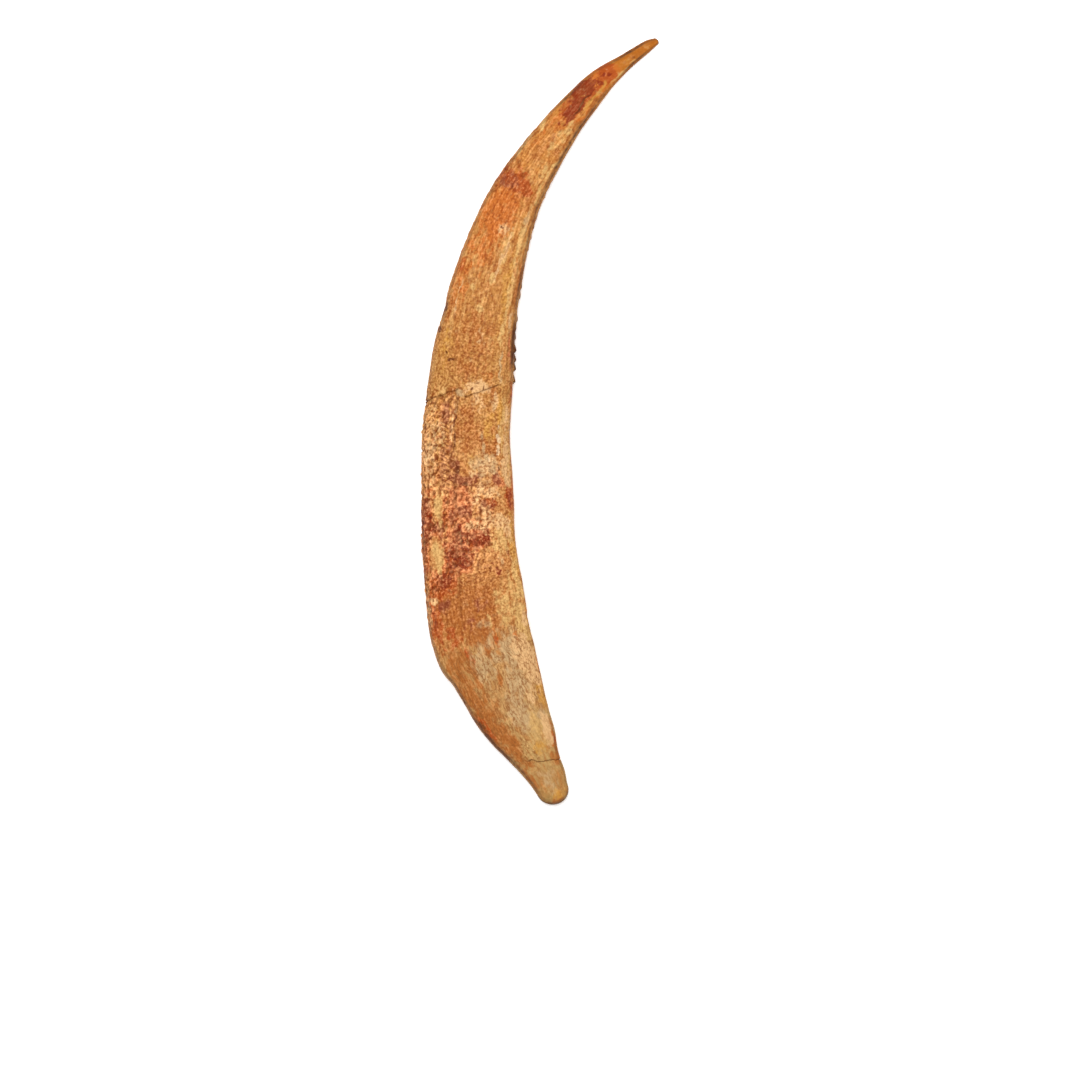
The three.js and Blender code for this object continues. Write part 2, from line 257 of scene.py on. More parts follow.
def mid_height(distance, half_thickness):
    """How high the mid-plane lies: the spine rests along its middle, and both ends are lifted a little."""
    root_lift = ROOT_LIFT * (1 - smooth(0, ROOT_LIFT_LENGTH, distance))
    tip_lift = TIP_LIFT * smooth(SPINE_LENGTH - TIP_LIFT_LENGTH, SPINE_LENGTH, distance)
    return half_thickness - SEAT_DEPTH + root_lift + tip_lift


def leaning_distance(distance, across, flank):
    """The distance of each ring's points: the rings near a break lean and wobble with it."""
    wobble = field(np.stack([across * 7, flank * 3, 0 * across], axis=-1), 1)
    shifted = distance
    for b in BREAKS:
        shift = b["slope"] * across + b["jog"] * (step_at(b["jog_at"], JOG_FADE, across) - 0.5)
        shift = shift + BREAK_WOBBLE * wobble
        shifted = shifted + shift * np.exp(-(((distance - b["at"]) / b["reach"]) ** 2))
    return shifted


# ---------------------------------------------------------------- noise over arrays of points


def field(points, size, seed=0.0):
    """Smooth noise, about -1 to 1, with lumps of the given size in mm."""
    flat = (np.asarray(points, float) / size + seed).reshape(-1, 3)
    values = [noise.noise(p) for p in flat.tolist()]
    return np.array(values).reshape(np.shape(points)[:-1])


def nearest_seed(points, size, seed):
    """How far each point lies from the nearest of random seeds about size mm apart, in sizes."""
    flat = (np.asarray(points, float) / size + seed).reshape(-1, 3)
    values = [noise.voronoi(p)[0][0] for p in flat.tolist()]
    return np.array(values).reshape(np.shape(points)[:-1])


def nodules(points, size, seed):
    """Rounded lumps: 1 on top, 0 between them."""
    return 1 - smooth(0.1, 0.62, nearest_seed(points, size, seed))


def pits(points, size, portion, seed):
    """Round pits in a portion of the places: 1 at the bottom, 0 outside."""
    kept = smooth(0.35 - portion, 0.5 - portion, 0.5 * field(points, 1.6 * size, seed + 5) + 0.25)
    return kept * (1 - smooth(0.1, 0.42, nearest_seed(points, size, seed)))


def drawn_out(points, factor):
    """The points with distances along the spine shortened, so that noise on them comes out as streaks."""
    return points / [factor, 1, 1]


# ---------------------------------------------------------------- the loft


def ring_distances():
    """Even rings, with a few set close together at each break so that its seam is crisp."""
    even = np.linspace(0, SPINE_LENGTH, round(SPINE_LENGTH / RING_SPACING) + 1)
    for b in BREAKS:
        even = even[np.abs(even - b["at"]) > 1.35 * b["half_width"]]
    seams = [b["at"] + k * b["half_width"] for b in BREAKS for k in (-1, -0.5, 0, 0.5, 1)]
    return np.sort(np.concatenate([even, seams]))


# Each ring goes from the keel round the upper flank to its back and returns round the hidden flank; around is
# the share of the way round a flank, and flank is 1 on the upper one and -1 on the hidden one.
rings = ring_distances()
steps = np.concatenate([np.arange(FLANK_STEPS + 1), np.arange(FLANK_STEPS - 1, 0, -1)])
around = np.broadcast_to(steps / FLANK_STEPS, (len(rings), len(steps)))
flank = np.broadcast_to(np.where(np.arange(len(steps)) <= FLANK_STEPS, 1.0, -1.0), around.shape)
ring_distance = np.broadcast_to(rings[:, None], around.shape)

distance = leaning_distance(ring_distance, section_at(ring_distance, around)[..., 0], flank)
middle, towards_trailing, half_width, half_thickness = frame_at(distance)
section = section_at(distance, around)
share = section[..., 0]  # across, from -1 at the leading margin to 1 at the trailing one
local = np.stack([share * half_width, flank * section[..., 1] * half_thickness], axis=-1)

# The spine's own coordinates: along, across and height from the mid-plane.
own = np.concatenate([distance[..., None], local], axis=-1)


def outward_normals():
    """Out of the section, within the section's plane."""
    tangent = np.roll(local, -1, axis=1) - np.roll(local, 1, axis=1)
    tangent /= np.linalg.norm(tangent, axis=-1)[..., None]
    return np.stack([-tangent[..., 1], tangent[..., 0]], axis=-1)


out = outward_normals()

# ---------------------------------------------------------------- the zones of the surface, each from 0 to 1

edge = ENAMEL_EDGE_LEADING + (ENAMEL_EDGE_TRAILING - ENAMEL_EDGE_LEADING) * around
crown = step_at(edge, ENAMEL_EDGE_FADE, ring_distance + ENAMEL_EDGE_FADE * field(own, 6, 3.1))
bare_tip = step_at(BARE_TIP_START, BARE_TIP_FADE, ring_distance + BARE_TIP_FADE * field(own, 4, 8.3))
ornament = crown * (1 - bare_tip)
full_relief = np.clip(half_width / FULL_RELIEF_HALF_WIDTH, 0, 1)
shoulder_at = np.interp(distance, SHOULDER_LINE[:, 0], SHOULDER_LINE[:, 1])
trailing_wall = smooth(shoulder_at - 0.02, shoulder_at + 0.03, around)
coarse_length = step_at(COARSE_START, 5, distance) * (1 - step_at(COARSE_END, 3, distance))
coarse_edge = COARSE_EDGE - 0.2 * (1 - smooth(*BAND_WIDENS, distance)) + 0.03 * field(own, 4, 5.5)
coarse = coarse_length * (1 - step_at(coarse_edge, 0.03, around))
granular = between(*GRANULAR_STRETCH, distance) * (1 - smooth(0.6, 0.72, around))
coarser = np.maximum(coarse, granular)
rough = ornament * (1 - 0.75 * trailing_wall) * np.clip(0.3 + coarse + 0.6 * granular, 0, 1)
for along_at, share_at, half_length, half_breadth in SMOOTH_PATCHES:
    away = np.hypot((distance - along_at) / half_length, (share - share_at) * half_width / half_breadth)
    rough = rough * smooth(0.6, 1.2, away + 0.2 * field(own, 2, 4.1))
low_fibres = 0.65 * (1 - smooth(*LOW_FIBRES_FADE, distance))
fibrous = np.maximum.reduce([smooth(*FIBRES_RISE, distance), 1 - crown, low_fibres])


# ---------------------------------------------------------------- relief


def ribs():
    """Narrow ridges along the flanks, uneven and worn away in places: -0.5 to 0.5."""
    crest = 0.5 * np.cos(2 * math.pi * around / shoulder_at * RIBS)
    on_flank = smooth(0.01, 0.06, around) * (1 - smooth(shoulder_at - 0.1, shoulder_at - 0.03, around))
    worn = np.clip(0.55 + 1.2 * field(drawn_out(own, 4), 2.2, 7.7), 0, 1)
    return crest * on_flank * worn * (0.3 + 0.7 * smooth(*RIBS_RISE, distance))


def pits_between_ribs(spacing, seed):
    """Pits in the furrows between the ribs, about spacing mm apart: 1 at the bottom."""
    row = around / shoulder_at * RIBS + 0.45 * field(own, 3, seed)
    phase = field(np.stack([np.round(row) * 3.7, flank * 2.3, own[..., 0] / 8], axis=-1), 1, seed)
    in_row = 0.5 - 0.5 * np.cos(2 * math.pi * row)
    in_place = 0.5 + 0.5 * np.cos(2 * math.pi * (own[..., 0] / spacing + 2 * phase))
    return smooth(0.46, 0.74, in_row * in_place + 0.5 * field(own, 1.8, seed + 3))


def lengthwise_seam():
    """The dashed furrow behind the coarse band."""
    wander = 0.012 * field(own, 4, 2.2)
    dashes = smooth(-0.15, 0.15, field(drawn_out(own, 3), 2, 9.9))
    return coarse_length * dashes * peak(around - COARSE_EDGE - wander, 0.016)


def break_seam(b):
    """1 in a break's seam, 0 beside it."""
    return peak(ring_distance - b["at"], b["half_width"])


def crown_break_filled():
    """How far the crown's break is filled behind the place where it fades."""
    return 0.8 * step_at(CROWN_BREAK_FADES, BREAK_FADE, share)


def break_seams():
    """The two breaks, but for the stretches that are filled on the upper flank."""
    healed = between(HEALED_FROM - BREAK_FADE, HEALED_FROM, HEALED_TO, HEALED_TO + HEALED_FADE, share)
    healed = np.maximum(healed, crown_break_filled())
    filled = 0.9 * (1 - step_at(ROOT_BREAK_FADES, BREAK_FADE, share))
    crown_seam = break_seam(CROWN_BREAK) * (1 - healed * (flank > 0))
    return np.maximum(crown_seam, break_seam(ROOT_BREAK) * (1 - filled * (flank > 0)))


def denticles():
    """Worn hooks in two rows on the trailing wall: how far each point stands out, in mm."""
    draw = random.Random(11)
    count = int((DENTICLE_LAST - DENTICLE_FIRST) / DENTICLE_SPACING)
    standing = np.zeros(around.shape)
    for i in range(count + 1):
        at = DENTICLE_FIRST + i * DENTICLE_SPACING + draw.uniform(-0.6, 0.6)
        full_height = DENTICLE_FIRST_HEIGHT + (DENTICLE_LAST_HEIGHT - DENTICLE_FIRST_HEIGHT) * i / count
        kept = draw.uniform(0.7, 1.0) if i < BEST_KEPT_DENTICLES else draw.uniform(0.15, 0.6)
        row = 1 if i % 2 else -1
        off_row = local[..., 1] - row * DENTICLE_ROW_OFFSET * half_thickness
        radius = np.hypot((distance - at) / (0.9 * full_height + 0.5), off_row / (0.7 * full_height + 0.4))
        hook = full_height * kept * np.clip(1 - radius, 0, 1) ** 0.8
        standing = np.maximum(standing, hook * (around > shoulder_at))
    return standing


coarse_round_pits = pits(drawn_out(own, 1.2), size=2.1, portion=0.3, seed=4.4)
coarse_pits = np.maximum(pits_between_ribs(spacing=2, seed=4.4), coarse_round_pits)
fine_pits = pits(drawn_out(own, 1.3), size=1.25, portion=0.4, seed=6.1)
coarse_nodules = nodules(own, size=1.5, seed=1.9)
fine_nodules = nodules(drawn_out(own, 1.6), size=1.05, seed=3.7)
root_streaks = field(drawn_out(own, 8), 1.1, 5.9)
root_pits = pits(drawn_out(own, 2.5), size=2.2, portion=0.12, seed=8.8)
rib = ribs()
seam = lengthwise_seam()
seam_ridge = between(*SEAM_RIDGE_STRETCH, distance) * peak(around - COARSE_EDGE + 0.03, 0.022)
crack = break_seams()
hooks = denticles()
shoulder = peak(around - shoulder_at, 0.028) * (0.6 + 0.8 * field(drawn_out(own, 2), 1.2, 4.8))

coarse_grain = COARSE_NODULE_HEIGHT * (coarse_nodules - NODULE_MEAN) - COARSE_PIT_DEPTH * coarse_pits
fine_grain = FINE_NODULE_HEIGHT * (fine_nodules - NODULE_MEAN) - FINE_PIT_DEPTH * fine_pits

relief = SWELL * field(own, 5, 1.7) + BROAD_SWELL * full_relief * field(own, 16, 2.9)
relief += ORNAMENT_STEP * (ornament - 0.5)
relief += ornament * full_relief * (RIB_HEIGHT * (1 - 0.7 * coarse) * rib + SHOULDER_HEIGHT * shoulder)
relief += rough * full_relief * coarser * coarse_grain
relief += SEAM_RIDGE_HEIGHT * seam_ridge
relief += ornament * (1 - 0.6 * trailing_wall) * full_relief * fine_grain
relief += (1 - crown) * (ROOT_STREAK_HEIGHT * root_streaks - ROOT_PIT_DEPTH * root_pits)
relief += bare_tip * TIP_STREAK_HEIGHT * field(drawn_out(own, 10), 0.9, 2.4)
relief -= ornament * SEAM_DEPTH * seam
relief -= BREAK_DEPTH * crack

across_mm = local[..., 0] + out[..., 0] * relief + hooks * math.cos(DENTICLE_LEAN)
towards_tip = np.stack([-towards_trailing[..., 1], towards_trailing[..., 0]], axis=-1)
world_xy = middle + towards_trailing * across_mm[..., None]
world_xy -= towards_tip * (hooks * math.sin(DENTICLE_LEAN))[..., None]
z = mid_height(distance, half_thickness) + local[..., 1] + out[..., 1] * relief
surface = np.concatenate([world_xy, z[..., None]], axis=-1)

# ---------------------------------------------------------------- the rounded ends


def dome(end_ring, direction, reach):
    """Rings that shrink onto an end point in an arc, and that point."""
    centre = end_ring.mean(axis=0)
    made = []
    for i in range(1, DOME_RINGS + 1):
        angle = i / (DOME_RINGS + 1) * math.pi / 2
        made.append(centre + (end_ring - centre) * math.cos(angle) + direction * reach * math.sin(angle))
    return made, centre + direction * reach


def with_domes(loft, root_direction, tip_direction):
    """All rings from the root's pole to the tip's, as rows of points, then the two poles."""
    root_rings, root_pole = dome(loft[0], root_direction, ROOT_DOME)
    tip_rings, tip_pole = dome(loft[-1], tip_direction, TIP_DOME)
    grid = np.array([*root_rings[::-1], *loft, *tip_rings])
    return np.vstack([grid.reshape(-1, 3), root_pole, tip_pole])


def spread_to_domes(values):
    """A zone's values with each end ring's repeated over its dome, and its mean at the pole."""
    at_root = np.repeat(values[:1], DOME_RINGS, axis=0)
    at_tip = np.repeat(values[-1:], DOME_RINGS, axis=0)
    grid = np.concatenate([at_root, values, at_tip])
    return np.concatenate([grid.ravel(), [values[0].mean(), values[-1].mean()]])


def heading(start, end):
    """The level unit vector from one point of the plan to another."""
    direction = np.append(end - start, 0)
    return direction / np.linalg.norm(direction)


points = with_domes(surface, heading(midline[1], midline[0]), heading(midline[-2], midline[-1]))
grain = with_domes(own, np.array([-1, 0, 0]), np.array([1, 0, 0]))
row_count = len(rings) + 2 * DOME_RINGS
column_count = len(steps)

points[:, 2] = np.maximum(points[:, 2], 0)
points[:, :2] -= BOX_MIDDLE

# ---------------------------------------------------------------- stains

# Each stain is a list of soft ovals on the upper flank, from the root to the tip: distance along the spine,
# place across it from -1 to 1, half length and half breadth in mm, and for a broken stain how much of it is
# there.
STAINS = {
    "orange": [
        (12, 0.94, 5, 0.8, 0.6), (15, 0.9, 4, 1.2, 0.9), (36, 0.96, 6, 0.6, 0.6), (50, 0.12, 3, 2, 0.6),
        (50, 0.64, 3, 1, 0.6), (51, 0.28, 5, 0.8, 0.8), (59, -0.45, 4, 4, 0.5), (101, 0.96, 4, 0.6, 0.7),
        (134.5, 0.4, 1.4, 4, 0.45), (167, -0.75, 14, 3, 0.55), (174, -0.3, 9, 3.4, 0.6),
        (187, -0.32, 14, 5.2, 0.9), (189, 0.35, 5, 2, 0.5), (213, -0.6, 4, 1, 0.6),
        (219, 0.1, 2.4, 1.2, 0.7), (220, -0.2, 4, 2.4, 0.6), (222, 0.32, 4, 0.9, 0.7),
        (222, 0.55, 4, 0.6, 0.8), (229, 0.6, 8, 0.6, 0.8), (239.5, -0.1, 5, 4),
    ],
    "brown": [
        (-4, 0, 1.4, 4, 0.7), (6, -0.8, 5, 0.8, 0.7), (9, 0.7, 3, 1.2, 0.6), (10, 0.9, 5, 0.8, 0.7),
        (13, -0.55, 6, 2.6, 0.7), (20, -0.44, 8, 1.9, 0.85), (26, -0.72, 14, 4, 0.8),
        (29, -0.35, 6, 2, 0.4), (38, 0.02, 3, 0.8, 0.8), (41, -0.78, 13, 2.8, 0.75),
        (43, -0.44, 9, 1.4, 0.85), (47, -0.5, 5, 3.4, 0.65), (48, 0.02, 4, 1, 0.6),
        (49, 0.08, 6, 0.6, 0.8), (50, -0.16, 5, 0.8, 0.8), (50, 0.52, 4, 0.6, 0.7),
        (51, 0.1, 3, 1.6, 0.6), (55, -0.1, 4, 9, 0.85), (57, -0.12, 4, 3, 0.6), (62, -0.1, 9, 9, 1),
        (63, -0.6, 5, 3, 1.1), (63, 0.12, 5, 3, 1.2), (75, -0.75, 5, 1.2, 0.6),
        (93, -0.12, 3.4, 2.6, 0.85), (93, 0.42, 3.4, 3.4, 0.85), (105, -0.64, 4, 1.6, 0.6),
        (111.5, 0.5, 2.4, 3, 0.8), (112, -0.38, 4, 0.9, 0.7), (112, 0.5, 2.2, 1.4, 0.7),
        (112, 0.64, 7, 0.8, 0.7), (114, 0.36, 5, 1.8, 0.75), (118, -0.03, 11, 4, 0.6),
        (123, -0.62, 4, 1.6, 0.85), (128, 0.55, 6, 2, 0.5), (129, -0.38, 1.6, 1.2, 0.8),
        (130, 0.95, 6, 0.7, 0.7), (136, -0.12, 4, 2.4, 0.7), (146, -0.06, 13, 7, 0.55),
        (153, -0.66, 4, 1, 0.6), (155, -0.82, 6, 0.9, 0.7), (159, -0.1, 3, 2, 0.5),
        (163, 0.82, 8, 0.4, 0.6), (166, 0.1, 8, 2.4, 0.5), (166, 0.89, 11, 0.9, 0.75),
        (171, -0.1, 3, 2, 0.6), (188, 0.92, 12, 0.8, 0.55), (194, 0.6, 4, 1.4, 0.8),
        (195, -0.8, 6, 2, 0.5), (196, -0.88, 8, 0.9, 0.7), (200, -0.6, 5, 1.8, 0.6),
        (206, -0.15, 8, 1.6, 0.5), (208, -0.88, 6, 0.7, 0.5), (212, 0.1, 4, 1.4, 0.6),
        (213, 0.6, 6, 0.9, 0.7), (228, 0.74, 10, 0.6, 0.9),
    ],
    "rust": [
        (14, 0.97, 2.4, 0.5, 0.8), (26, -0.84, 6, 1.3, 0.7), (48, -0.36, 5, 1, 0.6),
        (51, 0.28, 2.4, 0.9, 0.7), (53, -0.55, 3, 2, 0.5), (57, -0.6, 3, 1.6, 0.6),
        (62, -0.84, 10, 2.2, 0.75), (71, -0.6, 4.4, 5, 0.95), (78, -0.3, 5, 5.6),
        (79, -0.92, 8, 1.2, 0.8), (84, 0.0, 4.4, 6.2), (87, -0.62, 3.2, 2, 1), (90, -0.9, 8, 2, 0.8),
        (90, -0.3, 4, 4, 0.6), (92.5, -0.12, 3, 3, 0.8), (93, -0.42, 6, 2.2, 0.6),
        (94, 0.36, 3, 1.6, 0.6), (94.5, 0.55, 3, 2.2, 0.6), (96, 0.93, 5, 1.4, 0.8),
        (99, -0.8, 4, 2.6, 0.5), (131, 0.98, 4, 0.6, 0.65), (168, -0.86, 3, 0.8, 0.6),
        (195, 0.28, 2, 2, 0.8), (196.5, -0.35, 3.6, 5.6, 0.85), (200.5, -0.3, 1.6, 4, 0.5),
        (225, -0.2, 4, 2.6, 0.8), (232, -0.7, 4, 1.2, 0.8), (232, 0.2, 4, 1.2, 1), (240, -0.1, 3, 3.2),
        (240.5, -0.6, 4, 0.9, 0.8),
    ],
    "salmon": [
        (85, -0.35, 2, 2, 0.6), (88.5, 0.05, 2.8, 4.4, 0.8), (96, -0.14, 4, 3.8),
        (102, 0.68, 2.8, 2, 0.8), (144, 0.88, 8, 0.6, 0.6), (240, -0.05, 0.8, 0.7),
    ],
    "wine": [
        (60, -0.84, 1, 0.6), (71.5, -0.6, 3, 3, 0.72), (72.5, 0.55, 1, 0.9, 0.7), (77, -0.2, 3, 4, 0.7),
        (79, 0.79, 1.6, 0.5), (80, -0.24, 5, 5, 0.7), (83.5, 0.05, 3.4, 6, 0.64),
        (84, 0.33, 2.4, 2.2, 0.85), (85, -0.19, 3.4, 1.6), (87, 0.1, 1.2, 1.6, 0.6),
        (88, -0.88, 4.4, 1.6), (90.5, -0.33, 2, 1.4, 0.8), (92.6, 0.0, 1.6, 1.6, 0.7),
        (93, 0.33, 1.6, 1.6, 0.6), (94, 0.54, 2.2, 1.5, 0.6), (94.5, -0.87, 2.6, 1.4),
        (96, 0.92, 3, 0.6, 0.8), (221.6, 0.12, 2.4, 0.9), (226, -0.08, 6, 2), (231, 0.08, 3.6, 0.8, 0.8),
        (231.6, -0.45, 5, 2.8), (236.7, 0.05, 0.8, 1.6), (238.6, -0.55, 1.2, 0.6, 0.6),
        (240, -0.15, 1.3, 0.7, 0.7), (241.2, 0.2, 0.9, 0.6, 0.7),
    ],
    "mauve": [
        (57, -0.08, 3, 1.6, 0.6), (57.5, -0.2, 2, 2.4, 0.5), (63, 0.12, 3.4, 2.4, 0.5),
        (64, -0.6, 2.4, 2.2, 0.75), (87, -0.58, 2.4, 1.2, 0.7), (88, -0.68, 1.6, 1.6, 0.8),
        (92.4, -0.12, 2.4, 1.8, 0.65), (93.5, 0.36, 2.4, 1.4, 0.6), (101.6, -0.1, 1.9, 4.6),
        (102.5, 0.66, 1.8, 1.5), (103, 0.22, 1.4, 2.6), (107, -0.24, 3.6, 1.4, 0.8),
        (108, -0.5, 8, 1.6, 0.5), (122, -0.52, 4, 1.4, 0.6), (195.5, -0.6, 4, 3.4, 0.55),
    ],
    "gold": [
        (-2.6, 0.3, 1.6, 3, 0.6), (13.5, 0.3, 3, 2, 0.6), (28, 0.88, 3.4, 1.4, 0.9),
        (29, 0.93, 3, 0.8, 0.9), (78, 0.92, 14, 1.2, 0.8), (107, 0.12, 3, 2, 0.45),
        (118, -0.66, 9, 0.6, 0.6), (119, 0.5, 5, 2.2, 0.65), (123, 0.72, 5, 0.8, 0.9),
        (141, -0.68, 8, 2.2, 0.5), (152, 0.58, 7, 1.4, 0.5), (166, 0.6, 10, 1.4, 0.65),
        (231, 0.52, 5, 0.5, 0.7), (236.5, 0.42, 2.6, 0.7, 0.7), (246.5, 0.1, 2.2, 1.4, 0.4),
    ],
    "grey": [
        (3, 0.05, 4, 2.6, 0.55), (21, 0.75, 4, 1.4, 0.9), (26, 0.2, 6, 3.4, 0.85), (35, 0.4, 7, 4, 0.75),
        (44, -0.2, 6, 3.2, 0.8), (45, 0.14, 3, 1.6, 0.7), (46, 0.5, 8, 3.4, 0.8), (51, 0.1, 3, 3, 0.5),
        (56.5, 0.12, 1.8, 1.6, 0.6), (106, 0.42, 3.8, 4.8, 0.75), (112, -0.8, 14, 2.4, 0.5),
        (113, 0.36, 5, 0.7, 0.6), (127, 0.62, 3, 0.5, 0.8), (129, -0.2, 1.4, 1.2, 0.7),
        (139, 0.72, 6, 0.4, 0.8), (186, 0.74, 5, 0.7, 0.6),
    ],
    "straw": [
        (19, 0.45, 8, 3.4, 0.5), (54, -0.34, 3, 0.5, 0.6), (54, 0.86, 8, 2, 0.95),
        (57, 0.22, 4, 0.5, 0.7), (60, 0.6, 7, 3, 0.65), (63, 0.4, 3, 1.6, 0.6), (65, 0.75, 9, 1.2, 0.5),
        (68, 0.9, 9, 1.3, 0.9), (79, -0.68, 5.4, 1.8, 0.85), (82, 0.66, 5, 3, 0.6),
        (93.5, -0.62, 5.5, 1.1, 0.9), (110, 0.92, 10, 1.1, 0.6), (113.5, -0.55, 3, 1.2, 0.6),
        (120, 0.79, 9, 0.8, 0.75), (129, -0.6, 2, 1.6, 0.6), (150, 0.64, 8, 1, 0.6),
        (155, 0.0, 1.2, 1.2, 0.6), (161.5, -0.37, 1.2, 1.1, 0.8), (162, 0.7, 8, 0.7, 0.85),
        (165.5, 0.15, 1.8, 1.2, 0.9), (176, 0.3, 9, 1.8, 0.5), (176, 0.68, 7, 0.7, 0.7),
        (180, 0.3, 4, 1.4, 0.5), (180, 0.84, 6, 0.8, 0.55), (181, 0.66, 5, 1, 0.75),
        (200, 0.75, 12, 0.7, 0.6), (203, 0.5, 8, 1.2, 0.5), (207, -0.86, 5, 0.6, 0.7),
        (213, 0.3, 7, 1.6, 0.55), (217, -0.8, 4, 0.9, 0.7), (217, 0.58, 5, 0.7, 0.5),
        (220, 0.4, 4, 0.8, 0.55), (245, 0.7, 9, 0.5, 0.5),
    ],
    "cream": [
        (18, 0.77, 6, 1.4, 0.8), (30, 0.6, 4, 1.4, 0.6), (37, 0.89, 8, 1.2, 0.95),
        (39, 0.66, 4, 1.4, 0.7), (41, 0.78, 10, 2.3, 0.85), (45, 0.6, 5, 1.6, 0.6), (55, 0.93, 5, 1, 0.8),
        (63, -0.95, 8, 0.9, 0.5), (66.5, -0.8, 1.2, 1, 0.9), (75.5, 0.62, 1.5, 1.2, 0.6),
        (87, 0.84, 4, 1.4, 0.7), (87.5, 0.12, 2.2, 2.4, 0.68), (88, 0.7, 4, 1.8, 0.75),
        (89.5, 0.42, 4.4, 3.2, 0.7), (95.5, 0.2, 3, 2.4, 0.6), (98.5, 0.45, 2.6, 4, 0.65),
        (104.5, 0.14, 2, 1.4, 0.6), (105, 0.36, 2.4, 2, 0.65), (106, 0.87, 6, 0.9, 0.85),
        (106, 0.87, 4, 1.2, 0.8), (106.6, 0.5, 2.4, 3.8, 0.5), (108, -0.9, 5, 1, 0.5),
        (112, 0.86, 4, 0.8, 0.85), (117, -0.6, 4, 1.4, 0.6), (117, 0.93, 10, 1, 0.45),
        (119.5, -0.335, 9.5, 0.34, 0.9), (123, 0.87, 4, 0.9, 0.75), (126, 0.24, 3, 2.6, 0.55),
        (127, 0.62, 3, 1.2, 0.6), (127.6, 0.14, 2, 2, 0.55), (131.2, 0.2, 2.3, 4.2, 0.8),
        (147, 0.14, 5, 1.4, 0.45), (153, 0.84, 4, 0.7, 0.7), (157, -0.71, 8, 0.4, 0.5),
        (170, 0.22, 5, 0.5, 0.7), (177, 0.3, 6, 0.5, 0.7), (182.5, 0.04, 3, 2, 0.62),
    ],
    "umber": [
        (25, -0.9, 5, 1, 0.5), (27, -0.97, 18, 0.5, 0.7), (84, -0.17, 2.6, 0.6, 0.8),
        (100.3, -0.05, 0.8, 1.4, 0.8), (105.3, -0.2, 1.8, 1.2, 0.55), (105.6, 0.72, 1.8, 0.3, 0.7),
        (107.7, 0.3, 1.3, 0.22, 0.7), (119, -0.265, 9, 0.3, 1), (126, -0.98, 1.4, 0.6),
        (130.6, 0.08, 1, 0.22, 0.7), (131.7, 0.34, 1.4, 0.22, 0.7), (132.6, -0.6, 1.3, 0.25, 0.5),
        (132.8, 0.2, 0.3, 1.4, 0.6), (138, -0.66, 0.9, 0.4, 0.6), (139.5, -0.5, 0.6, 1.4, 0.8),
        (140.8, -0.62, 0.4, 0.7, 0.5), (147, -0.98, 1.2, 0.6), (154, -0.98, 2.4, 0.6),
        (182.5, -0.03, 0.6, 0.6, 0.7), (227, 0.14, 5, 0.35, 0.8), (250.5, 0.1, 0.8, 1.4, 0.5),
    ],
    "chalk": [
        (105.4, 0.6, 0.8, 0.4, 0.7), (107.6, 0.5, 0.7, 0.5, 0.8), (109.6, 0.7, 0.6, 0.4),
        (111.3, 0.71, 0.7, 0.4), (113, 0.715, 0.8, 0.45), (115.2, 0.72, 1.1, 0.5),
        (118.4, 0.73, 1, 0.35, 0.8), (131.6, 0.12, 0.7, 0.6, 0.7),
    ],
}
HIDDEN_FLANK_SHIFT = 23  # the hidden flank has the same kinds of stains in other places

hidden = spread_to_domes(smooth(0.1, 0.8, -local[..., 1] / half_thickness))
stain_half_width = spread_to_domes(half_width)
# The places that the ovals are drawn at wander a little, so that their borders are ragged.
stain_along = grain[:, 0] + HIDDEN_FLANK_SHIFT * hidden
stain_along += 1.4 * field(grain, 5, 3.3)
stain_along += 0.6 * field(grain, 1.8, 6.6)
stain_across = spread_to_domes(share) * stain_half_width
stain_across += field(grain, 5, 9.3)
stain_across += 0.5 * field(grain, 1.8, 1.6)


def stain_depth(ovals):
    """1 in the middle of a full oval, 0.5 on its border and 0 half as far out again."""
    depth = np.zeros(len(grain))
    for along_at, share_at, half_length, half_breadth, *strength in ovals:
        across_at = share_at * stain_half_width
        radius = np.hypot((stain_along - along_at) / half_length, (stain_across - across_at) / half_breadth)
        full = strength[0] if strength else 1
        depth = np.maximum(depth, full * np.clip(1.5 - radius, 0, 1))
    return depth


# ---------------------------------------------------------------- the mesh


def grid_faces(rows, columns):
    """Quads between the rows of points, and triangles round the poles, which are the last two points."""
    faces = []
    for i in range(rows - 1):
        for j in range(columns):
            k = (j + 1) % columns
            faces.append((i * columns + j, i * columns + k, (i + 1) * columns + k, (i + 1) * columns + j))
    root_index, tip_index = rows * columns, rows * columns + 1
    for j in range(columns):
        k = (j + 1) % columns
        faces.append((root_index, k, j))
        faces.append((tip_index, (rows - 1) * columns + j, (rows - 1) * columns + k))
    return faces


mesh = bpy.data.meshes.new("weathered_spine")
mesh.from_pydata(points * MM, [], grid_faces(row_count, column_count))
mesh.polygons.foreach_set("use_smooth", [True] * len(mesh.polygons))
mesh.update()
spine = bpy.data.objects.new("weathered_spine", mesh)
bpy.context.scene.collection.objects.link(spine)
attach(spine, "root")
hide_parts("fin_spine")


def store(name, values):
    """Keep one number for each point of the mesh, for the material to read."""
    attribute = mesh.attributes.new(name, "FLOAT", "POINT")
    attribute.data.foreach_set("value", values.astype(np.float32))


def break_stain():
    """The dirt along the crown's break: wide and faint in front, narrow and dark behind the healed part."""
    in_front = 1 - smooth(HEALED_FROM - HEALED_FADE, HEALED_FROM, share)
    behind = smooth(HEALED_TO, HEALED_TO + HEALED_FADE, share) * (1 - crown_break_filled())
    away = ring_distance - CROWN_BREAK["at"]
    wide = 0.6 * in_front * peak(away, 0.8)
    dashes = 0.8 + 0.6 * field(own, 1.6, 1.3)
    return np.clip(np.maximum(wide, dashes * behind * peak(away, 0.36)), 0, 1)


